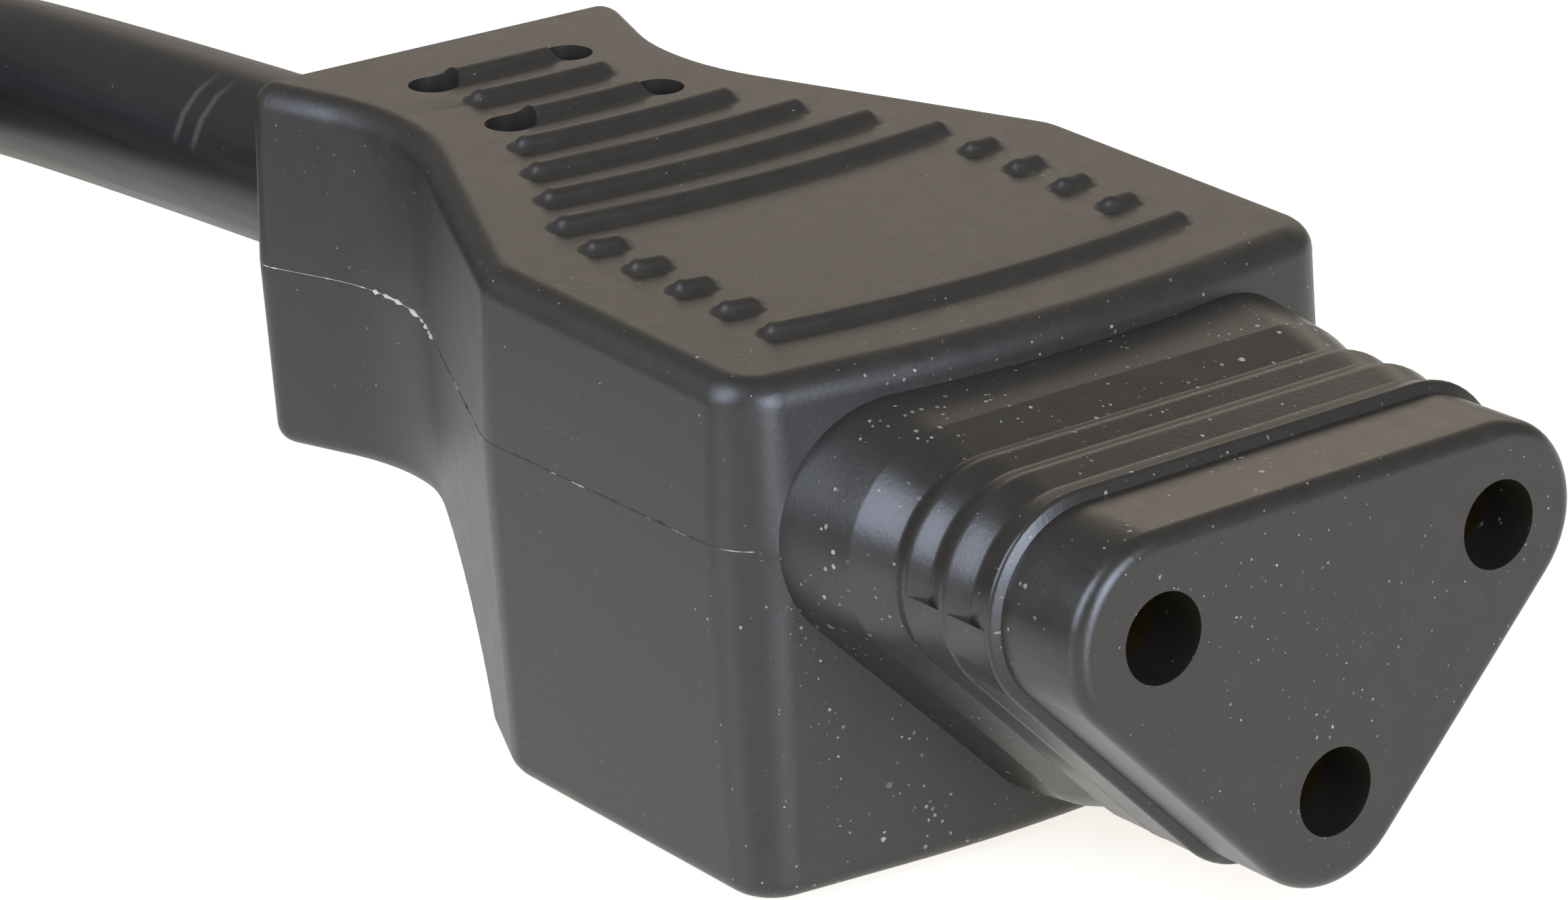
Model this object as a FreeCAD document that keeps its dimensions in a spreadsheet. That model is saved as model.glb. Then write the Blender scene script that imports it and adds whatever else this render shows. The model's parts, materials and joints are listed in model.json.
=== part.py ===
import FreeCAD, Part
import math
import os
import re
import Sketcher
from FreeCAD import Placement, Rotation, Vector

# Driving sizes in millimetres and degrees, one cell of the sheet each.
# The connector is measured from its front face (forward is +X) and from the mould's parting plane.
SIZES = {
    # contact layout
    "pin_spacing": 19.0,
    "earth_drop": 9.8,
    "pin_bore": 4.1,
    # connector nose
    "nose_length": 17.2,
    "nose_wall": 2.55,
    "nose_end_round": 0.8,
    "root_length": 2.8,
    "root_height": 0.8,
    "root_base": 1.5,
    "rib_start": 5.2,
    "first_rib": 2.4,
    "second_rib": 2.8,
    "third_rib": 1.8,
    "rib_height": 0.5,
    "third_height": 0.55,
    "valley_height": 0.08,
    "valley_round": 0.5,
    "crest_round": 0.9,
    "crest_share": 0.42,
    "step_round": 0.25,
    "step_share": 0.86,
    "rib_bite": 1.0,
    "band_height": 0.43,
    "band_share": 0.66,
    # connector block and neck
    "block_width": 34.9,
    "block_length": 21.7,
    "block_depth": 17.2,
    "front_bulge": 1.6,
    "front_peak": 0.58,
    "front_height": 7.5,
    "top_slope": 2.2,
    "body_length": 52.8,
    "rear_width": 24.6,
    "waist_width": 17.2,
    "waist_back": 41.8,
    "neck_depth": 9.95,
    "heel_length": 24.0,
    "cove_radius": 16.0,
    "upper_draft": 2.5,
    "lower_draft": 1.6,
    "top_round": 1.4,
    "floor_round": 1.1,
    "front_corner": 3.0,
    "hip_corner": 4.0,
    "waist_corner": 14.0,
    "rear_corner": 1.8,
    # grip marks on the top face
    "first_mark": 5.55,
    "dash_pitch": 3.46,
    "bar_pitch": 3.79,
    "mark_crest": 0.7,
    "mark_flare": 1.1,
    "mark_slope": 50.0,
    "mark_foot": 12.0,
    "small_share": 0.9,
    "mark_sink": 0.4,
    "mark_margin": 4.8,
    "mark_bow": 75.0,
    "dash_length": 3.2,
    "core_hole": 2.6,
    "core_hole_inset": 1.05,
    "core_hole_depth": 3.0,
    # contacts and cores
    "contact_recess": 3.0,
    "contact_length": 17.0,
    "contact_wall": 0.55,
    "contact_web": 1.6,
    "crimp_length": 6.0,
    "crimp_wall": 0.6,
    "strand_width": 1.9,
    "core_width": 3.1,
    "core_lay": 2.0,
    "core_lead": 5.0,
    # cord
    "cord_width": 9.6,
    "jacket_grip": 14.0,
    "coil_back": 136.0,
    "coil_side": 44.8,
    "coil_inside": 38.4,
    "coil_outside": 57.6,
    "coil_height": 27.6,
    "coil_round": 4.0,
    "tie_thickness": 1.0,
    "tie_width": 12.0,
    # plug
    "plug_back": 26.0,
    "plug_side": 99.6,
    "plug_wall": 5.2,
    "plug_length": 24.0,
    "plug_round": 1.2,
    "plug_axis_drop": 3.2,
    "collar_root": 4.5,
    "collar_front": 18.0,
    "collar_rear": 13.6,
    "collar_reach": 22.0,
    "groove_width": 1.8,
    "groove_depth": 1.0,
    "pin_width": 4.0,
    "pin_length": 19.0,
    "pin_relief": 0.3,
    "sleeve_length": 10.0,
    "sleeve_wall": 0.5,
    "pin_root": 6.0,
    "root_flange": 1.0,
}

# Rows of the grip marks, counted from the front: a small bar, rows of small side dashes, then large bars.
DASH_ROWS = range(1, 5)
LARGE_ROWS = range(5, 12)
CORE_HOLE_ROWS = (9, 11)

# Rings moulded into the plug's collar, as a count.
COLLAR_GROOVES = 3

# Where the tie sits round the coil, in degrees.
TIE_ANGLE = 200

# The cord's route in the open: points of the line that its middle follows.
RUN_POINTS = [(-62, 0, 16), (-90, 0, 14.1), (-113, 4.4, 8), (-136, 8, 5.4)]
TAIL_POINTS = [(-136, -97.6, 23.8), (-114, -97.8, 22.8), (-93, -98.6, 15.6)]

# Each bend of a route takes this share of the shorter straight run beside it.
BEND_SHARE = 0.45

# Where each core comes out of the jacket, in degrees round the cord's middle.
CORE_ANGLES = {"line": 150, "neutral": 30, "earth": 270}

document = FreeCAD.newDocument("power_cord")
sheet = document.addObject("Spreadsheet::Sheet", "Sizes")
for row, (alias, number) in enumerate(SIZES.items(), start=1):
    sheet.set(f"A{row}", alias)
    sheet.set(f"B{row}", str(number))
    sheet.setAlias(f"B{row}", alias)
document.recompute()


def size(alias):
    """A driving size as the sheet holds it."""
    return float(getattr(sheet, alias))


def cells(formula):
    """A formula in plain aliases, with each alias pointing at the sheet."""
    return re.sub(r"[a-z_]+", lambda word: f"Sizes.{word[0]}" if word[0] in SIZES else word[0], formula)


def value(formula):
    """What a formula comes to with the sheet's present numbers."""
    result = sheet.evalExpression(cells(formula))
    return float(getattr(result, "Value", result))


def bind(item, name, formula):
    """Tie one property of a document object to the sheet."""
    item.setExpression(name, cells(formula))


def new_body(name):
    """An empty body with its own label."""
    body = document.addObject("PartDesign::Body", name)
    body.Label = name
    return body


def new_sketch(body, role, name):
    """A sketch on one of the body's own origin planes."""
    sketch = body.newObject("Sketcher::SketchObject", name)
    plane = next(item for item in body.Origin.OriginFeatures if item.Role == role)
    sketch.AttachmentSupport = [(plane, "")]
    sketch.MapMode = "FlatFace"
    return sketch


# Sketcher's numbers for the origin point and for a line's or an arc's points.
ORIGIN, START, END, CENTRE = -1, 1, 2, 3


def tie(sketch, kind, item, point, formula):
    """Hold one coordinate of a sketch point at a formula's value."""
    constraint = Sketcher.Constraint(kind, ORIGIN, START, item, point, value(formula))
    sketch.setExpression(f"Constraints[{sketch.addConstraint(constraint)}]", cells(formula))


def tie_point(sketch, item, point, place):
    """Hold both coordinates of a sketch point."""
    tie(sketch, "DistanceX", item, point, place[0])
    tie(sketch, "DistanceY", item, point, place[1])


def tie_radius(sketch, item, formula):
    """Hold the radius of a circle or an arc."""
    index = sketch.addConstraint(Sketcher.Constraint("Radius", item, value(formula)))
    sketch.setExpression(f"Constraints[{index}]", cells(formula))


def draw_circle(sketch, place, radius):
    """A circle with its centre and radius tied to the sheet."""
    centre = Vector(value(place[0]), value(place[1]), 0)
    item = sketch.addGeometry(Part.Circle(centre, Vector(0, 0, 1), value(radius)))
    tie_point(sketch, item, CENTRE, place)
    tie_radius(sketch, item, radius)


def arc_between(start, end, centre, radius):
    """The shorter arc from start to end about a centre."""
    middle = (start + end) * 0.5 - centre
    return Part.Arc(start, centre + middle.normalize() * radius, end)


def draw_outline(sketch, corners):
    """A closed outline of straight edges. A corner is (x, y) or (x, y, radius of its rounding)."""
    points = [Vector(value(corner[0]), value(corner[1]), 0) for corner in corners]
    count = len(points)
    starts, ends, arcs = [], [], {}
    for index, (corner, point) in enumerate(zip(corners, points)):
        back = (points[index - 1] - point).normalize()
        ahead = (points[(index + 1) % count] - point).normalize()
        if len(corner) == 2:
            ends.append(point)
            starts.append(point)
            continue
        half = back.getAngle(ahead) / 2
        radius = value(corner[2])
        ends.append(point + back * (radius / math.tan(half)))
        starts.append(point + ahead * (radius / math.tan(half)))
        arcs[index] = (point + (back + ahead).normalize() * (radius / math.sin(half)), radius)
    lines = [sketch.addGeometry(Part.LineSegment(starts[i], ends[(i + 1) % count])) for i in range(count)]
    for index, corner in enumerate(corners):
        before, after = lines[index - 1], lines[index]
        if index not in arcs:
            sketch.addConstraint(Sketcher.Constraint("Coincident", before, END, after, START))
            tie_point(sketch, after, START, corner)
            continue
        curve = arc_between(ends[index], starts[index], *arcs[index])
        item = sketch.addGeometry(curve)
        first = sketch.getPoint(item, START)
        near, far = (START, END) if first.distanceToPoint(ends[index]) < 1e-6 else (END, START)
        sketch.addConstraint(Sketcher.Constraint("Tangent", before, END, item, near))
        sketch.addConstraint(Sketcher.Constraint("Tangent", item, far, after, START))
        tie_radius(sketch, item, corner[2])
        apex = sketch.addGeometry(Part.Point(points[index]), True)
        tie_point(sketch, apex, START, corner)
        sketch.addConstraint(Sketcher.Constraint("PointOnObject", apex, START, before))
        sketch.addConstraint(Sketcher.Constraint("PointOnObject", apex, START, after))


# The three contacts, in (y, z) of the parting plane's frame: name to place.
CONTACTS = {
    "line": ("-pin_spacing / 2", "0"),
    "neutral": ("pin_spacing / 2", "0"),
    "earth": ("0", "-earth_drop"),
}


# Radius of the nose's corners about the contacts.
NOSE_SKIN = "pin_bore / 2 + nose_wall"


def draw_triangle(sketch, radius):
    """A rounded triangle whose three corner arcs are centred on the contacts."""
    places = [CONTACTS[name] for name in ("line", "earth", "neutral")]
    centres = [Vector(value(y), value(z), 0) for y, z in places]
    reach = value(radius)
    lines = []
    for here, after in zip(centres, centres[1:] + centres[:1]):
        along = (after - here).normalize()
        outward = Vector(along.y, -along.x, 0) * reach
        lines.append(sketch.addGeometry(Part.LineSegment(here + outward, after + outward)))
    for index, place in enumerate(places):
        before, after = lines[index - 1], lines[index]
        start, end = sketch.getPoint(before, END), sketch.getPoint(after, START)
        item = sketch.addGeometry(arc_between(start, end, centres[index], reach))
        first = sketch.getPoint(item, START)
        near, far = (START, END) if first.distanceToPoint(start) < 1e-6 else (END, START)
        sketch.addConstraint(Sketcher.Constraint("Tangent", before, END, item, near))
        sketch.addConstraint(Sketcher.Constraint("Tangent", item, far, after, START))
        tie_point(sketch, item, CENTRE, place)
        tie_radius(sketch, item, radius)


def pad(body, sketch, name, length, back=None, drafts=None, backward=False):
    """Thicken a sketch along its normal, backward, or both ways where a second length is given."""
    feature = body.newObject("PartDesign::Pad", name)
    feature.Profile = sketch
    feature.Reversed = backward
    if back:
        feature.SideType = "Two sides"
        bind(feature, "Length2", back)
    bind(feature, "Length", length)
    if drafts:
        bind(feature, "TaperAngle", f"-{drafts[0]}")
        bind(feature, "TaperAngle2", f"-{drafts[1]}")
    document.recompute()
    return feature


def cut_both_ways(body, sketch, name):
    """Cut a sketch right through the body, to both sides of its plane."""
    feature = body.newObject("PartDesign::Pocket", name)
    feature.Profile = sketch
    feature.Type = "ThroughAll"
    feature.SideType = "Symmetric"
    document.recompute()
    return feature


def cut_down(body, sketch, name, depth, forward=False):
    """Cut a sketch to a depth, against its normal unless told forward."""
    feature = body.newObject("PartDesign::Pocket", name)
    feature.Profile = sketch
    feature.Reversed = forward
    bind(feature, "Length", depth)
    before = body.Shape.Volume
    document.recompute()
    if body.Shape.Volume > before - 1e-3:
        raise RuntimeError(f"{name} cuts nothing")
    return feature


def round_edges(body, name, radius, chosen):
    """Round the edges of the body's tip that a test chooses."""
    base = body.Tip
    edges = [f"Edge{i}" for i, edge in enumerate(base.Shape.Edges, start=1) if chosen(edge)]
    feature = body.newObject("PartDesign::Fillet", name)
    feature.Base = (base, edges)
    bind(feature, "Radius", radius)
    document.recompute()
    return feature


def half_width(back):
    """Half the connector's width at a distance behind its front face, read from its plan."""
    reach = size("block_width")
    across = Part.makeLine(Vector(-back, -reach, 0), Vector(-back, reach, 0))
    return max(vertex.Y for vertex in document.getObject("plan").Shape.section(across).Vertexes)


def row_back(row):
    """How far the middle of a row of grip marks lies behind the front face."""
    first = LARGE_ROWS[0]
    return size("first_mark") + min(row, first) * size("dash_pitch") + max(row - first, 0) * size("bar_pitch")


def mark_section(share):
    """Half section of a grip mark as a face: a round crest that flares into the top face."""
    crest, flare = share * size("mark_crest"), share * size("mark_flare")
    steep, foot = math.radians(size("mark_slope")), math.radians(size("mark_foot"))
    top = crest * (1 - math.cos(steep)) + flare * (math.cos(foot) - math.cos(steep))
    crest_middle = Vector(0, 0, top - crest)
    flare_middle = crest_middle + Vector(math.sin(steep), 0, math.cos(steep)) * (crest + flare)

    def on_crest(turned):
        return crest_middle + Vector(math.sin(turned), 0, math.cos(turned)) * crest

    def on_flare(turned):
        return flare_middle - Vector(math.sin(turned), 0, math.cos(turned)) * flare

    low = foot / 2
    base = Vector(0, 0, -size("mark_sink"))
    rim = on_flare(low)
    corner = Vector(rim.x, 0, base.z)
    edges = [
        Part.Arc(on_crest(0), on_crest(steep / 2), on_crest(steep)),
        Part.Arc(on_crest(steep), on_flare((steep + low) / 2), rim),
        Part.LineSegment(rim, corner),
        Part.LineSegment(corner, base),
        Part.LineSegment(base, on_crest(0)),
    ]
    return Part.Face(Part.Wire([edge.toShape() for edge in edges]))


def grip_mark(back, reach, share):
    """One mark between two sides: a run along a large circle, with a half turn of its section at each end."""
    bow = size("mark_bow")
    centre, middle, up = Vector(-back - bow, 0, 0), Vector(-back, 0, 0), Vector(0, 0, 1)
    half = mark_section(share)
    other = half.mirror(Vector(), Vector(1, 0, 0))
    first, last = (math.degrees(math.asin(side / bow)) for side in reach)

    def swung(shape, swing):
        moved = shape.copy()
        moved.translate(middle)
        moved.rotate(centre, up, swing)
        return moved

    def end_at(swing, turned):
        place = centre + Rotation(up, swing).multVec(middle - centre)
        return swung(half, swing).revolve(place, up, turned)

    runs = [swung(side, first).revolve(centre, up, last - first) for side in (half, other)]
    return runs[0].fuse([runs[1], end_at(first, -180), end_at(last, 180)]).removeSplitter()


def grip_marks():
    """The bars and dashes that stand up from the top face, kept a margin inside its outline."""
    marks = []
    for row in range(LARGE_ROWS[-1] + 1):
        back = row_back(row)
        share = 1 if row in LARGE_ROWS else size("small_share")
        half = mark_section(share).BoundBox.XMax
        outer = half_width(back) - size("mark_margin") - half
        if row in DASH_ROWS:
            inner = outer - size("dash_length") + 2 * half
            marks += [grip_mark(back, (-outer, -inner), share), grip_mark(back, (inner, outer), share)]
        else:
            marks.append(grip_mark(back, (-outer, outer), share))
    return on_top_face(marks)


def on_top_face(shapes):
    """Shapes drawn on a level plane, moved as one to the sloping top face."""
    whole = Part.Compound(shapes)
    slope = Rotation(Vector(0, 1, 0), size("top_slope"))
    whole.Placement = Placement(Vector(0, 0, size("front_height")), slope)
    return whole


def core_pins():
    """The pins of the mould that leave blind holes near the ends of two bars."""
    depth = size("core_hole_depth")
    pins = []
    for row in CORE_HOLE_ROWS:
        back = row_back(row)
        place = half_width(back) - size("mark_margin") - size("core_hole_inset")
        for side in (-place, place):
            pins.append(Part.makeCylinder(size("core_hole") / 2, 2 * depth, Vector(-back, side, -depth)))
    return on_top_face(pins)


def lies(edge, height):
    """Whether an edge keeps to the surface where a height function is zero."""
    span = edge.LastParameter - edge.FirstParameter
    points = [edge.valueAt(edge.FirstParameter + share * span) for share in (0.1, 0.5, 0.9)]
    return all(abs(height(point)) < 1e-3 for point in points)


def under_rim(edge):
    """Whether an edge bounds the connector's underside: block floor, cove or neck."""
    reach = size("cove_radius")
    middle_x, middle_z = -size("heel_length") - reach, -size("neck_depth") - reach
    on_floor = lies(edge, lambda p: p.z + size("block_depth"))
    on_neck = lies(edge, lambda p: p.z + size("neck_depth"))
    on_cove = lies(edge, lambda p: math.hypot(p.x - middle_x, p.z - middle_z) - reach)
    return on_floor or on_neck or on_cove


def connector_moulding():
    """The outer form of the connector: block, neck and ribbed nose in one moulding."""
    body = new_body("connector_moulding")
    plan = new_sketch(body, "XY_Plane", "plan")
    bow_turn = "atan((front_peak + front_bulge) / (block_width / 2))"
    front = ("front_peak", "0", f"front_peak / (1 / cos({bow_turn}) - 1)")
    side = [
        ("-front_bulge", "block_width / 2", "front_corner"),
        ("-block_length", "block_width / 2", "hip_corner"),
        ("-waist_back", "waist_width / 2", "waist_corner"),
        ("-body_length", "rear_width / 2", "rear_corner"),
    ]
    far = [(x, f"-{y}", radius) for x, y, radius in reversed(side)]
    draw_outline(plan, [front, *side, *far])
    top_rear = "front_height + body_length * tan(top_slope)"
    pad(body, plan, "slab", top_rear, "block_depth", ("upper_draft", "lower_draft"))

    lid = new_sketch(body, "XZ_Plane", "top_line")
    draw_outline(lid, [
        ("-2 * body_length", "front_height + 2 * body_length * tan(top_slope)"),
        ("body_length", "front_height - body_length * tan(top_slope)"),
        ("body_length", "2 * body_length"),
        ("-2 * body_length", "2 * body_length"),
    ])
    cut_both_ways(body, lid, "sloping_top")

    under = new_sketch(body, "XZ_Plane", "underside_line")
    draw_outline(under, [
        ("-2 * body_length", "-neck_depth"),
        ("-heel_length", "-neck_depth", "cove_radius"),
        ("-heel_length", "-2 * block_depth"),
        ("-2 * body_length", "-2 * block_depth"),
    ])
    cut_both_ways(body, under, "neck_underside")

    slope = math.tan(math.radians(size("top_slope")))
    round_edges(body, "top_rim", "top_round",
                lambda edge: lies(edge, lambda p: p.z - size("front_height") + p.x * slope))
    round_edges(body, "floor_rim", "floor_round", under_rim)

    nose = new_sketch(body, "YZ_Plane", "nose_section")
    draw_triangle(nose, NOSE_SKIN)
    pad(body, nose, "nose", "nose_length", "block_length / 2")
    tip = size("nose_length")
    round_edges(body, "nose_end", "nose_end_round",
                lambda edge: all(abs(v.X - tip) < 1e-4 for v in edge.Vertexes))
    return body


def round_nose(body, name, corners):
    """A band swept round the nose from its section: places ahead of the front face and over the middle."""
    spine = new_sketch(body, "YZ_Plane", f"{name}_path")
    draw_triangle(spine, NOSE_SKIN)
    profile = new_sketch(body, "XZ_Plane", f"{name}_profile")
    draw_outline(profile, corners)
    document.recompute()
    feature = body.newObject("PartDesign::AdditivePipe", name)
    feature.Profile = profile
    feature.Spine = spine
    document.recompute()


def nose_ribs(body):
    """The root of the nose and its three ribs, as one band."""
    corners = [
        ("-front_bulge - rib_bite", f"{NOSE_SKIN} - rib_bite"),
        ("-front_bulge - rib_bite", f"{NOSE_SKIN} + root_base"),
        ("root_length", f"{NOSE_SKIN} + root_height", "crest_round"),
    ]
    start = "rib_start"
    for width, height, crest in (("first_rib", "rib_height", "crest"), ("second_rib", "rib_height", "crest"),
                                 ("third_rib", "third_height", "step")):
        corners.append((start, f"{NOSE_SKIN} + valley_height", "valley_round"))
        corners.append((f"{start} + {crest}_share * {width}", f"{NOSE_SKIN} + {height}", f"{crest}_round"))
        start = f"{start} + {width}"
    corners += [(start, NOSE_SKIN), (start, f"{NOSE_SKIN} - rib_bite")]
    round_nose(body, "ribs", corners)


def lower_band():
    """The plain band that fills the valleys between the ribs below the parting plane."""
    body = new_body("nose_band")
    first = "rib_start + crest_share * first_rib"
    last = "rib_start + first_rib + second_rib + band_share * third_rib"
    low, high = f"{NOSE_SKIN} - rib_bite", f"{NOSE_SKIN} + band_height"
    round_nose(body, "band", [(first, low), (first, high), (last, high), (last, low)])
    upper = new_sketch(body, "XZ_Plane", "upper_half")
    tip = "nose_length"
    draw_outline(upper, [("0", "0"), (tip, "0"), (tip, tip), ("0", tip)])
    cut_both_ways(body, upper, "above_parting")
    return body


def pin_bores(body):
    """The three entry holes of the nose, as deep as the contacts behind them."""
    holes = new_sketch(body, "YZ_Plane", "pin_holes")
    bind(holes, "AttachmentOffset.Base.z", "nose_length - contact_recess - contact_length")
    for place in CONTACTS.values():
        draw_circle(holes, place, "pin_bore / 2")
    return cut_down(body, holes, "pin_bores", "contact_recess + contact_length", forward=True)


def turn(body, sketch, name, axis, angle="360"):
    """Turn a sketch about its own horizontal or vertical axis, to both sides of its plane."""
    feature = body.newObject("PartDesign::Revolution", name)
    feature.Profile = sketch
    feature.ReferenceAxis = (sketch, [axis])
    feature.Midplane = True
    bind(feature, "Angle", angle)
    document.recompute()
    return feature


def turned_body(name, outlines, axis="H_Axis", angle="360"):
    """A body turned from a half section in its XZ plane."""
    body = new_body(name)
    sketch = new_sketch(body, "XZ_Plane", f"{name}_profile")
    for corners in outlines:
        draw_outline(sketch, corners)
    turn(body, sketch, f"{name}_turned", axis, angle)
    return body


def contact_profile():
    """Half section of a socket contact: open sleeve, solid web and crimp barrel."""
    web = "-contact_length - contact_web"
    end = f"{web} - crimp_length"
    return [
        ("0", "pin_bore / 2"),
        ("0", "pin_bore / 2 + contact_wall"),
        (web, "pin_bore / 2 + contact_wall"),
        (web, "strand_width / 2 + crimp_wall"),
        (end, "strand_width / 2 + crimp_wall"),
        (end, "strand_width / 2"),
        (web, "strand_width / 2"),
        (web, "0"),
        ("-contact_length", "0"),
        ("-contact_length", "pin_bore / 2"),
    ]


def pin_profile(sleeved):
    """Half section of a plug pin: chamfered tip, shank, neck, flange inside the moulding and crimp barrel."""
    shank, neck = "pin_width / 2", "pin_width / 2 - sleeve_wall"
    shank_end = "sleeve_length" if sleeved else "pin_relief"
    end = "-pin_root - crimp_length"
    return [
        ("pin_length", "0"),
        ("pin_length", f"{shank} - root_flange"),
        ("pin_length - root_flange", shank),
        (shank_end, shank),
        (shank_end, neck),
        ("-pin_root + 2 * root_flange", neck),
        ("-pin_root + 2 * root_flange", f"{shank} + root_flange"),
        ("-pin_root", f"{shank} + root_flange"),
        ("-pin_root", "strand_width / 2 + crimp_wall"),
        (end, "strand_width / 2 + crimp_wall"),
        (end, "strand_width / 2"),
        ("-pin_root", "strand_width / 2"),
        ("-pin_root", "0"),
    ]


def sleeve_profile():
    """Half section of the insulating sleeve on the root half of a live pin, just clear of the moulding."""
    return [
        ("pin_relief", "pin_width / 2 - sleeve_wall"),
        ("sleeve_length", "pin_width / 2 - sleeve_wall"),
        ("sleeve_length", "pin_width / 2"),
        ("pin_relief", "pin_width / 2"),
    ]


def coil_section(grow):
    """Section of the bundle of turns as a rounded rectangle, grown outwards by a formula."""
    inside, outside = f"coil_inside - {grow}", f"coil_outside + {grow}"
    low, high = f"tie_thickness - {grow}", f"tie_thickness + coil_height + {grow}"
    corners = [(inside, low), (outside, low), (outside, high), (inside, high)]
    return [(x, z, f"coil_round + {grow}") for x, z in corners]


def collar_profile():
    """Half section of the plug's tapered collar with its bending grooves."""
    def radius(share):
        return f"collar_front / 2 - (collar_front - collar_rear) / 2 * {share}"
    root, rear = "-plug_length + collar_root", "-plug_length - collar_reach"
    corners = [(root, "0"), (root, radius(0))]
    for groove in range(COLLAR_GROOVES):
        share = (groove + 1.5) / (COLLAR_GROOVES + 1.5)
        near = f"-plug_length - collar_reach * {share}"
        away = f"{near} - groove_width"
        outside, floor = radius(share), f"{radius(share)} - groove_depth"
        corners += [(near, outside), (near, floor), (away, floor), (away, outside)]
    return [*corners, (rear, radius(1)), (rear, "0")]


def plug_moulding():
    """The outer form of the plug: a block round the pins and a collar for the cord."""
    body = new_body("plug_moulding")
    section = new_sketch(body, "YZ_Plane", "plug_section")
    draw_triangle(section, "pin_width / 2 + plug_wall")
    pad(body, section, "plug_block", "plug_length", backward=True)
    ends = (0, -size("plug_length"))
    round_edges(body, "plug_rounding", "plug_round",
                lambda edge: any(all(abs(v.X - x) < 1e-4 for v in edge.Vertexes) for x in ends))
    collar = new_sketch(body, "XZ_Plane", "collar_section")
    bind(collar, "AttachmentOffset.Base.y", "-plug_axis_drop")
    draw_outline(collar, collar_profile())
    turn(body, collar, "collar", "H_Axis")
    return body


def bend_radii(points):
    """Radius of the arc at each inner point of a route."""
    radii = []
    for back, here, ahead in zip(points, points[1:], points[2:]):
        bend = (here - back).getAngle(ahead - here)
        shorter = min((here - back).Length, (ahead - here).Length)
        radii.append(BEND_SHARE * shorter / math.tan(bend / 2))
    return radii


def route_wire(points, radii):
    """A wire of straight runs joined by tangent arcs."""
    edges = []
    last = points[0]
    for back, here, ahead, radius in zip(points, points[1:], points[2:], radii):
        into, away = (here - back).normalize(), (ahead - here).normalize()
        bend = into.getAngle(away)
        tangent = radius * math.tan(bend / 2)
        start, end = here - into * tangent, here + away * tangent
        inward = (away - into).normalize()
        centre = here + inward * (radius / math.cos(bend / 2))
        edges.append(Part.makeLine(last, start))
        edges.append(Part.Arc(start, centre - inward * radius, end).toShape())
        last = end
    edges.append(Part.makeLine(last, points[-1]))
    return Part.Wire(edges)


def swept(name, points, radii, radius):
    """A round rod along a route, its radius tied to the sheet."""
    path = document.addObject("Part::Feature", f"{name}_path")
    path.Shape = route_wire(points, radii)
    ring = document.addObject("Part::Circle", f"{name}_section")
    bind(ring, "Radius", radius)
    ring.Placement = Placement(points[0], Rotation(Vector(0, 0, 1), points[1] - points[0]))
    rod = document.addObject("Part::Sweep", name)
    rod.Sections = [ring]
    rod.Spine = (path, [f"Edge{i + 1}" for i in range(len(path.Shape.Edges))])
    rod.Solid = True
    rod.Label = name
    document.recompute()
    return rod


def cut(name, base, tools):
    """A piece with the room for other pieces taken out of it."""
    tool = tools[0]
    if len(tools) > 1:
        tool = document.addObject("Part::MultiFuse", f"{name}_tools")
        tool.Shapes = tools
    piece = document.addObject("Part::Cut", name)
    piece.Base = base
    piece.Tool = tool
    piece.Label = name
    document.recompute()
    return piece


def core_with_strands(end, name, place, barrel, jacket):
    """One insulated core between a crimp barrel and the jacket's cut end: insulation and strands.

    place is the moulding's placement, barrel is where the crimp barrel starts in its frame, and
    jacket is where this core comes out of the jacket.
    """
    back = Vector(-1, 0, 0)
    crimp_end = barrel + back * size("crimp_length")
    lead = crimp_end + back * size("core_lead")
    gather = jacket - back * size("core_lead")
    route = [place.multVec(point) for point in (barrel, lead, gather, jacket)]
    radii = bend_radii([place.multVec(point) for point in (crimp_end, lead, gather, jacket)])
    strands = swept(f"{end}_strands_{name}", route, radii, "strand_width / 2")
    cover = [place.multVec(crimp_end), *route[1:]]
    rod = swept(f"{end}_core_{name}_rod", cover, radii, "core_width / 2")
    return cut(f"{end}_core_{name}", rod, [strands]), strands


def core_places():
    """Where each core leaves the jacket, round the cord's middle: name to (y, z)."""
    lay = size("core_lay")
    return {name: (lay * math.cos(math.radians(angle)), lay * math.sin(math.radians(angle)))
            for name, angle in CORE_ANGLES.items()}


def place_by_sheet(body, x, y, z):
    """Put a body at a place given by formulas."""
    for axis, formula in zip("xyz", (x, y, z)):
        bind(body, f"Placement.Base.{axis}", formula)
    document.recompute()


def standing(name, shape, place):
    """A shape drawn in a moulding's own frame, as an object in the frame of the whole part."""
    item = document.addObject("Part::Feature", name)
    item.Shape = shape
    item.Placement = place.multiply(item.Placement)
    return item


# The connector's front face and parting plane, in the frame of the whole part.
FRONT = "(body_length - nose_length) / 2"
PARTING = "block_depth"
connector_place = Placement(Vector(value(FRONT), 0, value(PARTING)), Rotation())

moulding = connector_moulding()
nose_ribs(moulding)
pin_bores(moulding)
nose_band = lower_band()
for body in (moulding, nose_band):
    place_by_sheet(body, FRONT, "0", PARTING)

marked = document.addObject("Part::MultiFuse", "marked_moulding")
marked.Shapes = [moulding, nose_band, standing("grip_marks", grip_marks(), connector_place)]
core_holes = standing("core_holes", core_pins(), connector_place)

pieces = []
connector_inside = []
jacket_end = size("jacket_grip") - size("body_length")
barrel_start = size("nose_length") - size("contact_recess") - size("contact_length") - size("contact_web")
for name, (y, z) in CONTACTS.items():
    contact = turned_body(f"contact_{name}", [contact_profile()])
    place_by_sheet(contact, f"{FRONT} + nose_length - contact_recess", y, f"{PARTING} + {z}")
    out_y, out_z = core_places()[name]
    barrel = Vector(barrel_start, value(y), value(z))
    core, strands = core_with_strands("connector", name, connector_place, barrel,
                                      Vector(jacket_end, out_y, out_z))
    connector_inside += [contact, core, strands]

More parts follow.
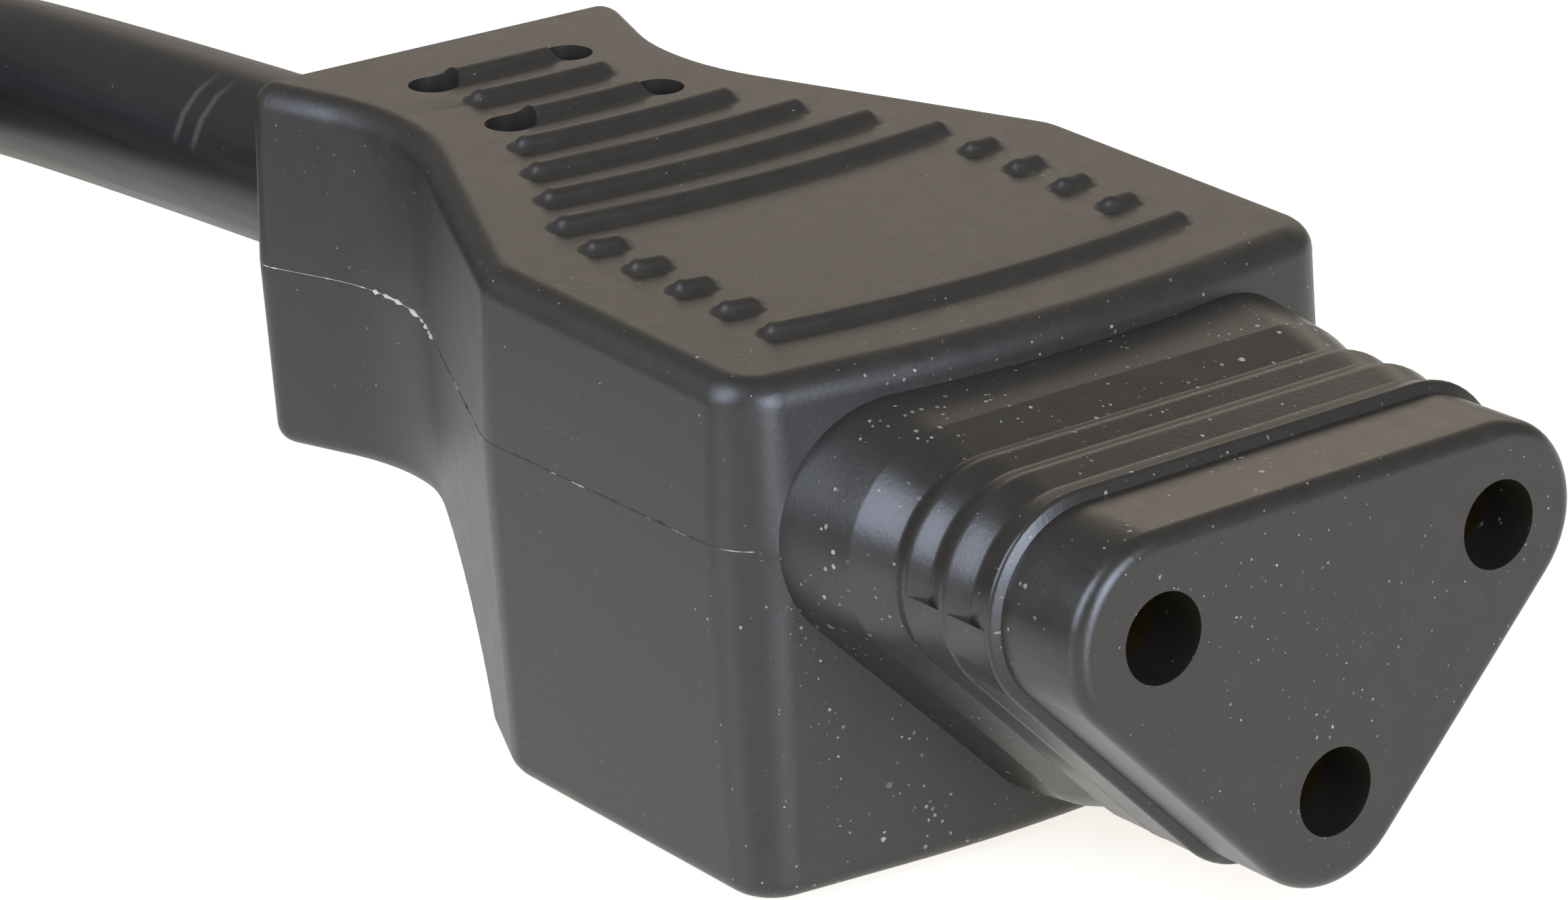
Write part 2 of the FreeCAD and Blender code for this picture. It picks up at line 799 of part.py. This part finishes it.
run_start = [connector_place.multVec(Vector(x, 0, 0)) for x in (jacket_end, -size("body_length"))]
run_route = [*run_start, *(Vector(*point) for point in RUN_POINTS)]
cord_run = swept("cord_run", run_route, bend_radii(run_route), "cord_width / 2")
connector_body = cut("connector_body", marked, [core_holes, *connector_inside, cord_run])
pieces += [connector_body, *connector_inside, cord_run]

coil_body = turned_body("cord_coil", [coil_section("0")], "V_Axis")
place_by_sheet(coil_body, "-coil_back", "-coil_side", "0")
tie_turn = "tie_width / (coil_inside + coil_outside) * 360 / pi"
tie_body = turned_body("cord_tie", [coil_section("tie_thickness"), coil_section("0")], "V_Axis", tie_turn)
tie_body.Placement.Rotation = Rotation(Vector(0, 0, 1), TIE_ANGLE)
place_by_sheet(tie_body, "-coil_back", "-coil_side", "0")

# The plug lies on its flat side, so its frame is turned over.
PLUG_HEIGHT = "pin_width / 2 + plug_wall"
plug_place = Placement(Vector(value("-plug_back"), value("-plug_side"), value(PLUG_HEIGHT)),
                       Rotation(Vector(1, 0, 0), 180))
plug = plug_moulding()
plug.Placement = plug_place
place_by_sheet(plug, "-plug_back", "-plug_side", PLUG_HEIGHT)

plug_rear = -size("plug_length") - size("collar_reach")
plug_jacket_end = plug_rear + size("jacket_grip")
axis_height = -size("plug_axis_drop")
plug_inside, sleeves = [], []
for name, (y, z) in CONTACTS.items():
    sleeved = name != "earth"
    pin_place = ("-plug_back", f"-plug_side - {y}", f"{PLUG_HEIGHT} - {z}")
    pin = turned_body(f"plug_pin_{name}", [pin_profile(sleeved)])
    place_by_sheet(pin, *pin_place)
    if sleeved:
        sleeve = turned_body(f"pin_sleeve_{name}", [sleeve_profile()])
        place_by_sheet(sleeve, *pin_place)
        sleeves.append(sleeve)
    out_y, out_z = core_places()[name]
    barrel = Vector(-size("pin_root"), value(y), value(z))
    core, strands = core_with_strands("plug", name, plug_place, barrel,
                                      Vector(plug_jacket_end, out_y, axis_height + out_z))
    plug_inside += [pin, core, strands]

tail_end = [plug_place.multVec(Vector(x, 0, axis_height)) for x in (plug_rear, plug_jacket_end)]
tail_route = [*(Vector(*point) for point in TAIL_POINTS), *tail_end]
cord_tail = swept("cord_tail", tail_route, bend_radii(tail_route), "cord_width / 2")
plug_body = cut("plug_body", plug, [*plug_inside, cord_tail])
pieces += [coil_body, tie_body, cord_tail, plug_body, *plug_inside, *sleeves]

faulty = [item.Name for item in document.Objects if {"Invalid", "Error"} & set(item.State)]
if faulty:
    raise RuntimeError(f"features in error: {faulty}")
os.makedirs("parts", exist_ok=True)
for piece in pieces:
    if piece.Shape.isNull() or not piece.Shape.isValid() or len(piece.Shape.Solids) != 1:
        raise RuntimeError(f"{piece.Label} is not one valid solid")
    piece.Shape.exportStep(f"parts/{piece.Label}.step")
    print(piece.Label, round(piece.Shape.Volume, 2))
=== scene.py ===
# %% [markdown]
# A power cord is a flexible cable with a moulded connector on one end and a plug on the other.
# The imported model already holds the solid pieces in their places, so the lesson starts by loading it.

# %% Load the frame
import json
import math
import random

import bmesh
import bpy
from mathutils import Matrix, Vector
from mathutils.bvhtree import BVHTree


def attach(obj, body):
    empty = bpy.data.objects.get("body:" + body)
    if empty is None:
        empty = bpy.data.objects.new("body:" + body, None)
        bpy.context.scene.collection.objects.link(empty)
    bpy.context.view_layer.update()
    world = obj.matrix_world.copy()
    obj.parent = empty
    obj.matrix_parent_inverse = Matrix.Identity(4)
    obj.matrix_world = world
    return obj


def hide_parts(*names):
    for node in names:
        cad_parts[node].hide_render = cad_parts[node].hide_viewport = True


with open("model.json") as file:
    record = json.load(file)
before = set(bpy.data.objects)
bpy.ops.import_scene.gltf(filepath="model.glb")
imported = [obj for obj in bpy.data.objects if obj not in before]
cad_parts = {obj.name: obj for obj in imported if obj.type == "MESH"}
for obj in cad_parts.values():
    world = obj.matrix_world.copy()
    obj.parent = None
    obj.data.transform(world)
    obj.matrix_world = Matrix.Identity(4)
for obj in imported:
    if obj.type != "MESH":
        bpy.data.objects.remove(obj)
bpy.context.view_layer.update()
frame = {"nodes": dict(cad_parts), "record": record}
nodes = frame["nodes"]
MM = 0.001
print("frame:", len(nodes), "solid pieces")

# %% [markdown]
# The camera stands where the picture was taken: close, a little above, ahead of the connector's near corner.
# Its place came from fitting the sockets, the nose end and the grip marks to their places in the picture.
# A matrix built from the three camera axes holds the slight roll, which a plain look-at would lose.

# %% Camera
CAMERA_PLACE = (182.01, -133.98, 98.12)
CAMERA_RIGHT = (0.59291, 0.80425, -0.04057)
CAMERA_UP = (-0.26296, 0.24099, 0.93423)
CAMERA_BACK = (0.76112, -0.54324, 0.35437)
SENSOR_WIDTH = 36.0
LENS = 116.0
SHIFT = (0.0090, 0.0128)
CLIP = (0.005, 20.0)

camera_data = bpy.data.cameras.new("camera")
camera_data.sensor_width = SENSOR_WIDTH
camera_data.lens = LENS
camera_data.shift_x, camera_data.shift_y = SHIFT
camera_data.clip_start, camera_data.clip_end = CLIP
camera = bpy.data.objects.new("camera", camera_data)
bpy.context.collection.objects.link(camera)
axes = Matrix((CAMERA_RIGHT, CAMERA_UP, CAMERA_BACK)).transposed()
camera.matrix_world = Matrix.Translation(Vector(CAMERA_PLACE) * MM) @ axes.to_4x4()
bpy.context.scene.camera = camera
print("camera:", round(camera.matrix_world.translation.length, 3), "m from the middle of the connector")

# %% [markdown]
# The cord is one length of round rubber cable, so it is one smooth curve with a round bevel.
# A NURBS spline only leans towards its points, which gives the slow bends of a heavy cable.
# It leaves the connector straight and comes down to the floor, where the spare length lies in a tied coil.
# The coil is two turns wide and three layers high.
# The cord steps from turn to turn within a fifth of a circle.

# %% Cord route
CORD_WIDTH = 9.6
RUN = ((-35, 0, 17.2), (-62, 0, 16), (-90, 0, 14.1), (-113, 4.4, 8))
TAIL = ((-114, -97.8, 22.8), (-93, -98.6, 15.6), (-72, -99.6, 10.4))
COIL_MIDDLE = (-136, -44.8)
COIL_START = 90
COIL_TURNS = 5.5
POINTS_PER_TURN = 16
OUTER, INNER = 52.8, 43.2
LAYERS = (5.4, 14.6, 23.8)
STEP = 70
TURNS = (
    (OUTER, LAYERS[0]), (INNER, LAYERS[0]), (INNER, LAYERS[1]),
    (OUTER, LAYERS[1]), (INNER, LAYERS[2]), (OUTER, LAYERS[2]),
)


def coil_points():
    """Points at even angles. Each turn keeps its radius and height, then steps over to the next."""
    for i in range(round(COIL_TURNS * POINTS_PER_TURN) + 1):
        turned = i / POINTS_PER_TURN * 360
        here = int(turned // 360)
        after = min(here + 1, len(TURNS) - 1)
        share = max(0.0, (turned % 360 - 360 + STEP) / STEP)
        radius, height = (a + (b - a) * share for a, b in zip(TURNS[here], TURNS[after]))
        angle = math.radians(COIL_START + turned)
        middle_x, middle_y = COIL_MIDDLE
        yield (middle_x + radius * math.cos(angle), middle_y + radius * math.sin(angle), height)


route = [*RUN, *coil_points(), *TAIL]
cord_curve = bpy.data.curves.new("cord", "CURVE")
cord_curve.dimensions = "3D"
cord_curve.bevel_depth = 1.0
cord_curve.bevel_resolution = 8
cord_curve.resolution_u = 8
cord_curve.use_fill_caps = True
spline = cord_curve.splines.new("NURBS")
spline.points.add(len(route) - 1)
for point, place in zip(spline.points, route):
    point.co = (*(Vector(place) * MM), 1.0)
    point.radius = CORD_WIDTH / 2 * MM
spline.order_u = 3
spline.use_endpoint_u = True
cord = bpy.data.objects.new("cord", cord_curve)
bpy.context.collection.objects.link(cord)
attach(cord, "root")
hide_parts("cord_run", "cord_coil", "cord_tail")

# %% [markdown]

# %% [markdown]
# The connector is one soft moulding, and light slides over its rounded edges without a break.
# The imported mesh is a pile of loose triangles, so smooth shading could not cross from one to the next.
# A welded copy stands in for it, with the triangles of each flat face joined into one face.
# Only real corners stay sharp, and the wide faces lead the shading of the narrow ones.

# %% Connector skin
CORNER = math.radians(38)
FLAT = math.radians(0.3)
WELD = 0.002
WIDE = 30

# The weighted normals read this number of a face, and a face with a higher number leads.
STRENGTH = "__mod_weightednormals_faceweight"

skin_mesh = bpy.data.meshes.new("connector_skin")
shape = bmesh.new()
shape.from_mesh(nodes["connector_body"].data)
bmesh.ops.remove_doubles(shape, verts=shape.verts, dist=WELD * MM)
bmesh.ops.dissolve_limit(shape, angle_limit=FLAT, verts=shape.verts, edges=shape.edges)
for edge in shape.edges:
    edge.smooth = edge.calc_face_angle(0.0) < CORNER
strength = shape.faces.layers.int.new(STRENGTH)
for face in shape.faces:
    face.smooth = True
    face[strength] = int(face.calc_area() > WIDE * MM * MM)
shape.to_mesh(skin_mesh)
shape.free()
if "custom_normal" in skin_mesh.attributes:
    skin_mesh.attributes.remove(skin_mesh.attributes["custom_normal"])
skin = bpy.data.objects.new("connector_skin", skin_mesh)
bpy.context.collection.objects.link(skin)
lead = skin.modifiers.new("wide faces lead", "WEIGHTED_NORMAL")
lead.keep_sharp = True
lead.mode = "CORNER_ANGLE"
lead.use_face_influence = True
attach(skin, "root")
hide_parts("connector_body")
print("connector skin:", len(skin_mesh.vertices), "points,", len(skin_mesh.polygons), "faces")

# %% [markdown]
# The connector was cast in a mould of two halves, and a thin bead of flash marks where they met.
# It could be painted on as a line, but a real bead catches the light and has lumps where the halves leaked.
# Rays shot at the skin in the parting plane find where it lies, and a chain of round sections follows them.
# On the neck it is lumpy and scuffed pale. Along the block it is a hair, and the nose keeps one short tag.

# %% Flash bead
PARTING_HEIGHT = 17.2
BEAD_STEP = 0.3
RAY_START = 40
LUMP = (0.3, 1.0)
WOBBLE = (0.6, 1.2)
SEED = 7

# Each stretch: its start and end along the connector, its radius, and how often and how far it thickens.
STRETCHES = (
    (-34.0, -26.4, 0.013, 0.12, 0.04),
    (-26.2, -17.0, 0.013, 0.35, 0.16),
    (-16.7, 16.2, 0.03, 0.05, 0.06),
    (29.3, 30.0, 0.05, 0.6, 0.12),
)
dice = random.Random(SEED)
corners = [vertex.co for vertex in skin_mesh.vertices]
skin_tree = BVHTree.FromPolygons(corners, [face.vertices for face in skin_mesh.polygons])
bead_curve = bpy.data.curves.new("flash_bead", "CURVE")
bead_curve.dimensions = "3D"
bead_curve.bevel_depth = 1.0
bead_curve.bevel_resolution = 1
bead_curve.use_fill_caps = True
for start, end, radius, chance, most in STRETCHES:
    for side in (-1, 1):
        bead_line = bead_curve.splines.new("POLY")
        steps = round((end - start) / BEAD_STEP)
        bead_line.points.add(steps)
        for i, point in enumerate(bead_line.points):
            outside = Vector((start + i * (end - start) / steps, side * RAY_START, PARTING_HEIGHT)) * MM
            place = skin_tree.ray_cast(outside, Vector((0, -side, 0)))[0]
            lump = dice.uniform(*LUMP) * most if dice.random() < chance else 0.0
            point.co = (*place, 1.0)
            point.radius = (radius * dice.uniform(*WOBBLE) + lump) * MM
bead_maker = bpy.data.objects.new("flash_bead_maker", bead_curve)
bead_mesh = bpy.data.meshes.new_from_object(bead_maker)
bpy.data.objects.remove(bead_maker)
bead = bpy.data.objects.new("flash_bead", bead_mesh)
bpy.context.collection.objects.link(bead)
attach(bead, "root")
print("flash bead:", len(bead_curve.splines), "stretches,", len(bead_mesh.polygons), "faces")

# %% [markdown]
# Every finish below is made of shader nodes.
# One helper adds a node, sets its values and links its inputs, so that each finish reads as a short list.
# Colours are written as the hex values that a screen shows, and one function turns them into linear light.

# %% Helpers for finishes
PLASTIC_IOR = 1.5


def colour(code):
    """Linear RGBA of an sRGB hex colour."""
    channels = [int(code[i:i + 2], 16) / 255 for i in (0, 2, 4)]
    return [c / 12.92 if c < 0.04045 else ((c + 0.055) / 1.055) ** 2.4 for c in channels] + [1.0]


def add(material, kind, settings=None, **inputs):
    """A new node of a material, with its own settings and with values or links on its inputs."""
    node = material.node_tree.nodes.new("ShaderNode" + kind)
    for name, value in (settings or {}).items():
        setattr(node, name, value)
    for name, value in inputs.items():
        key = int(name[1:]) if name[0] == "i" and name[1:].isdigit() else name.replace("_", " ")
        if isinstance(value, bpy.types.NodeSocket):
            material.node_tree.links.new(value, node.inputs[key])
        else:
            node.inputs[key].default_value = value
    return node


def new_finish(name, metallic=0.0):
    """A new material and its surface shader."""
    material = bpy.data.materials.new(name)
    material.use_nodes = True
    shader = material.node_tree.nodes["Principled BSDF"]
    shader.inputs["Metallic"].default_value = metallic
    shader.inputs["IOR"].default_value = PLASTIC_IOR
    return material, shader


def plug_in(material, shader, **sockets):
    """Link sockets to the shader's inputs."""
    for name, socket in sockets.items():
        material.node_tree.links.new(socket, shader.inputs[name.replace("_", " ")])


def per_metre(millimetres):
    """Scale of a pattern whose cells are this wide."""
    return 1 / (millimetres * MM)


print("helpers ready")

# %% [markdown]
# Dry dust clings to soft PVC in pale specks and crumbs.
# Each cell of a cell pattern holds one speck, whose size and paleness come from the cell's own random colour.
# A little noise bends the pattern first, so that the specks are crumbs and not discs.

# %% Dust
CRUMB = 0.2
BEND = 0.15


def dust(material, place, cell, reach, share):
    """Mask of specks in cells of a width, with radii up to a reach, in millimetres, scaled by a share."""
    wander = add(material, "TexNoise", Vector=place, Scale=per_metre(CRUMB), Detail=1.0)
    bent = add(
        material, "VectorMath", {"operation": "MULTIPLY_ADD"},
        i0=wander.outputs["Color"], i1=(BEND * MM,) * 3, i2=place,
    )
    cells = add(material, "TexVoronoi", Vector=bent.outputs[0], Scale=per_metre(cell))
    own = add(material, "SeparateColor", i0=cells.outputs["Color"])
    full = add(material, "MapRange", i0=own.outputs[0], i1=0.1, i2=1.0, i3=0.0, i4=reach / cell)
    size = add(material, "Math", {"operation": "MULTIPLY"}, i0=full.outputs[0], i1=share)
    over = add(material, "Math", {"operation": "SUBTRACT"}, i0=size.outputs[0], i1=cells.outputs["Distance"])
    inside = add(material, "Math", {"operation": "MULTIPLY", "use_clamp": True}, i0=over.outputs[0], i1=20.0)
    pale = add(material, "MapRange", i0=own.outputs[1], i3=0.05, i4=0.4)
    seen = add(material, "Math", {"operation": "MULTIPLY"}, i0=inside.outputs[0], i1=pale.outputs[0])
    return seen.outputs[0]


print("dust helper ready")

# %% [markdown]
# The mouldings are soft black PVC, cast against a finely eroded steel mould.
# The compound itself is almost black, and the grey that the eye sees is a broad satin sheen of the room.
# Dust is thickest at the front and the root of the nose, where the hand doesn't wipe it off.
# Use wipes the end face and rubs the nose a little smoother.

# %% Moulded PVC
# Where each change starts and ends along the connector, in millimetres.
DUSTY = (12, 18)
SETTLED = (20, 25)
WIPED = (34, 34.8)
RUBBED = (18, 20)

# Width of the cells and greatest radius of the specks, in millimetres.
FINE_DUST = (0.45, 0.1)
COARSE_DUST = (1.3, 0.18)

pvc, shader = new_finish("moulded soft PVC")
place = add(pvc, "TexCoord").outputs["Object"]
mottle = add(pvc, "TexNoise", Vector=place, Scale=per_metre(1.2), Detail=4.0)
tone = add(pvc, "Mix", {"data_type": "RGBA"}, i0=mottle.outputs[0], i6=colour("1F1D19"), i7=colour("292620"))
along = add(pvc, "SeparateXYZ", i0=place).outputs[0]
front = add(pvc, "MapRange", i0=along, i1=DUSTY[0] * MM, i2=DUSTY[1] * MM, i3=0.7, i4=1.3)
settled = add(pvc, "MapRange", i0=along, i1=SETTLED[0] * MM, i2=SETTLED[1] * MM, i3=1.0, i4=0.8)
lying = add(pvc, "Math", {"operation": "MULTIPLY"}, i0=front.outputs[0], i1=settled.outputs[0])
patchy = add(pvc, "TexNoise", Vector=place, Scale=per_metre(6.0), Detail=2.0)
thick = add(pvc, "MapRange", i0=patchy.outputs[0], i1=0.35, i2=0.65, i3=0.4, i4=1.0)
wiped = add(pvc, "MapRange", i0=along, i1=WIPED[0] * MM, i2=WIPED[1] * MM, i3=1.0, i4=0.75)
reached = add(pvc, "Math", {"operation": "MULTIPLY"}, i0=wiped.outputs[0], i1=lying.outputs[0])
share = add(pvc, "Math", {"operation": "MULTIPLY"}, i0=thick.outputs[0], i1=reached.outputs[0])
fine = dust(pvc, place, *FINE_DUST, share.outputs[0])
coarse = dust(pvc, place, *COARSE_DUST, share.outputs[0])
speck = add(pvc, "Math", {"operation": "MAXIMUM"}, i0=fine, i1=coarse)
dusty = add(pvc, "Mix", {"data_type": "RGBA"}, i0=speck.outputs[0], i6=tone.outputs[2], i7=colour("D8D4CA"))
peel = add(pvc, "TexNoise", Vector=place, Scale=per_metre(0.25), Detail=2.0)
bump = add(pvc, "Bump", Strength=0.45, Distance=0.02 * MM, Height=peel.outputs[0])
satin = add(pvc, "MapRange", i0=mottle.outputs[0], i1=0.3, i2=0.7, i3=0.39, i4=0.43)
rubbed = add(pvc, "MapRange", i0=along, i1=RUBBED[0] * MM, i2=RUBBED[1] * MM, i3=0.0, i4=0.07)
rough = add(pvc, "Math", {"operation": "SUBTRACT"}, i0=satin.outputs[0], i1=rubbed.outputs[0])
plug_in(pvc, shader, Base_Color=dusty.outputs[2], Normal=bump.outputs[0], Roughness=rough.outputs[0])
skin_mesh.materials.append(pvc)
print("finish:", pvc.name)

# %% [markdown]
# The flash is the same PVC. On the neck it is drawn thin and scuffed, so there it has gone pale and chalky.

# %% Scuffed flash
SCUFFED = (-16, -19)

flash, shader = new_finish("scuffed PVC flash")
place = add(flash, "TexCoord").outputs["Object"]
along = add(flash, "SeparateXYZ", i0=place)
neck = add(flash, "MapRange", i0=along.outputs[0], i1=SCUFFED[0] * MM, i2=SCUFFED[1] * MM, i3=0.0, i4=0.35)
worn = add(flash, "TexNoise", Vector=place, Scale=per_metre(1.2), Detail=3.0)
scuffed = add(flash, "Math", i0=worn.outputs[0], i1=neck.outputs[0])
pale = add(flash, "MapRange", i0=scuffed.outputs[0], i1=0.55, i2=0.75)
chalk = add(flash, "Mix", {"data_type": "RGBA"}, i0=pale.outputs[0], i6=colour("2B2926"), i7=colour("B9B6AF"))
plug_in(flash, shader, Base_Color=chalk.outputs[2])
shader.inputs["Roughness"].default_value = 0.6
bead_mesh.materials.append(flash)
print("finish:", flash.name)

# %% [markdown]
# The jacket is extruded rubber, with faint streaks along its length, and it shows the room as bands.
# Two pale arcs near the connector are scuffs, worn on the upper side, where the colour turns grey.
# Each arc is where a band across the cord meets a band of heights.

# %% Extruded rubber
SCUFFS = (-54.4, -52.4)
SCUFF_HEIGHT = 19.2
JACKET_DUST = (1.2, 0.13)


def band(material, along_axis, middle, inner, outer, most):
    """Mask of a band about a middle, full within one half-width and gone at another, in millimetres."""
    off = add(material, "Math", {"operation": "SUBTRACT"}, i0=along_axis, i1=middle * MM)
    near = add(material, "Math", {"operation": "ABSOLUTE"}, i0=off.outputs[0])
    mask = add(material, "MapRange", i0=near.outputs[0], i1=inner * MM, i2=outer * MM, i3=most, i4=0.0)
    return mask.outputs[0]


rubber, shader = new_finish("extruded black rubber")
place = add(rubber, "TexCoord").outputs["Object"]
along = add(rubber, "SeparateXYZ", i0=place)
drawn = add(rubber, "Mapping", i0=place, i3=(0.06, 1.0, 1.0))
streak = add(rubber, "TexNoise", Vector=drawn.outputs[0], Scale=per_metre(0.8), Detail=3.0)
dark, light = colour("141312"), colour("1C1B19")
tone = add(rubber, "Mix", {"data_type": "RGBA"}, i0=streak.outputs[0], i6=dark, i7=light)
shade = tone.outputs[2]
worn = band(rubber, along.outputs[2], SCUFF_HEIGHT, 1.0, 1.8, 0.16)
for scuff in SCUFFS:
    ring = band(rubber, along.outputs[0], scuff, 0.1, 0.4, worn)
    shade = add(rubber, "Mix", {"data_type": "RGBA"}, i0=ring, i6=shade, i7=colour("8A867E")).outputs[2]
specks = dust(rubber, place, *JACKET_DUST, 0.8)
dusty = add(rubber, "Mix", {"data_type": "RGBA"}, i0=specks, i6=shade, i7=colour("B9B5AC"))
gloss = add(rubber, "MapRange", i0=streak.outputs[0], i1=0.3, i2=0.7, i3=0.36, i4=0.44)
bump = add(rubber, "Bump", Strength=0.15, Distance=0.02 * MM, Height=streak.outputs[0])
plug_in(rubber, shader, Base_Color=dusty.outputs[2], Roughness=gloss.outputs[0], Normal=bump.outputs[0])
print("finish:", rubber.name)

# %% [markdown]
# The other finishes belong to the pieces that the mouldings hide or that lie with the coil.
# Each is its own colour with a fine grain at a real scale, so that a cut or a close view still looks right.

# %% Hidden pieces
# Each finish: its name, colour, metallic share, roughness and the width of its grain in millimetres.
HIDDEN = {
    "contact": ("turned brass", "9A8556", 1.0, 0.4, 0.15),
    "strands": ("copper strands", "C77B52", 1.0, 0.35, 0.25),
    "core_line": ("brown PVC insulation", "5B3A24", 0.0, 0.45, 0.6),
    "core_neutral": ("blue PVC insulation", "27509A", 0.0, 0.45, 0.6),
    "core_earth": ("green PVC insulation", "5C9A34", 0.0, 0.45, 0.6),
    "sleeve": ("black pin sleeve", "262626", 0.0, 0.4, 0.5),
    "tie": ("woven nylon strap", "232323", 0.0, 0.7, 0.4),
}
finishes = {"moulding": pvc, "jacket": rubber}
for slot, (name, code, metallic, roughness, grain_width) in HIDDEN.items():
    finish, shader = new_finish(name, metallic)
    place = add(finish, "TexCoord").outputs["Object"]
    grain = add(finish, "TexNoise", Vector=place, Scale=per_metre(grain_width), Detail=2.0)
    level = add(finish, "MapRange", i0=grain.outputs[0], i3=0.7, i4=1.3)
    shade = add(finish, "HueSaturation", Color=colour(code), Value=level.outputs[0])
    plug_in(finish, shader, Base_Color=shade.outputs[0])
    shader.inputs["Roughness"].default_value = roughness
    finishes[slot] = finish

for part in frame["record"]["subparts"]:
    node = nodes[part["node"]]
    node.data.materials.clear()
    node.data.materials.append(finishes[part["material_slot"]])
cord_curve.materials.append(rubber)
print("finishes:", len(finishes))

# %% [markdown]
# The studio is a glossy white table that glows a little, like a light table, so its shadows stay faint.
# The sides of a black part show what lies beside them, and here that is the bright table.

# %% Table
TABLE_REACH = 3.0

mesh = bpy.data.meshes.new("table")
shape = bmesh.new()
bmesh.ops.create_grid(shape, x_segments=1, y_segments=1, size=TABLE_REACH)
shape.to_mesh(mesh)
shape.free()
table = bpy.data.objects.new("table", mesh)
bpy.context.collection.objects.link(table)
paper, shader = new_finish("white translucent table")
shader.inputs["Base Color"].default_value = colour("9A9A9A")
shader.inputs["Roughness"].default_value = 0.2
shader.inputs["Emission Color"].default_value = colour("FFFBF2")
shader.inputs["Emission Strength"].default_value = 0.85
mesh.materials.append(paper)
print("table:", tuple(round(side, 1) for side in table.dimensions))

# %% [markdown]
# The room is dim, because a black part shows whatever it reflects: the dark bands on it are the dim ceiling.
# A warm wall behind gives the top its sheen, and a tall cool window at the near side draws the ribs' crests.
# Another window ahead of the nose lights the upright corners by its image in the table.
# A lamp's energy follows from its radiance and area, so each can be set as the eye would see it.

# %% Room and lights
world = bpy.data.worlds.new("room")
world.use_nodes = True
sky = world.node_tree.nodes["Background"]
sky.inputs["Color"].default_value = colour("E8E4DE")
sky.inputs["Strength"].default_value = 0.35
bpy.context.scene.world = world

# Each light: direction from the connector, distance, width, height, radiance and tint.
LIGHTS = {
    "warm_wall": ((-0.59, 0.705, 0.39), 2.0, 1.8, 0.6, 1.4, "FFEBD2"),
    "side_window": ((-0.14, -0.80, 0.59), 1.6, 0.86, 1.3, 9.5, "DCE6FF"),
    "front_window": ((0.93, -0.08, 0.36), 1.6, 0.8, 1.04, 15.0, "DCE6FF"),
}
for name, (direction, distance, width, height, radiance, tint) in LIGHTS.items():
    light = bpy.data.lights.new(name, "AREA")
    light.shape = "RECTANGLE"
    light.size, light.size_y = width, height
    light.energy = radiance * math.pi * width * height
    light.color = colour(tint)[:3]
    lamp = bpy.data.objects.new(name, light)
    bpy.context.collection.objects.link(lamp)
    lamp.location = Vector(direction).normalized() * distance
    lamp.rotation_euler = Vector(direction).to_track_quat("Z", "Y").to_euler()
bpy.context.scene.view_settings.view_transform = "Standard"
print("lights:", len(LIGHTS))
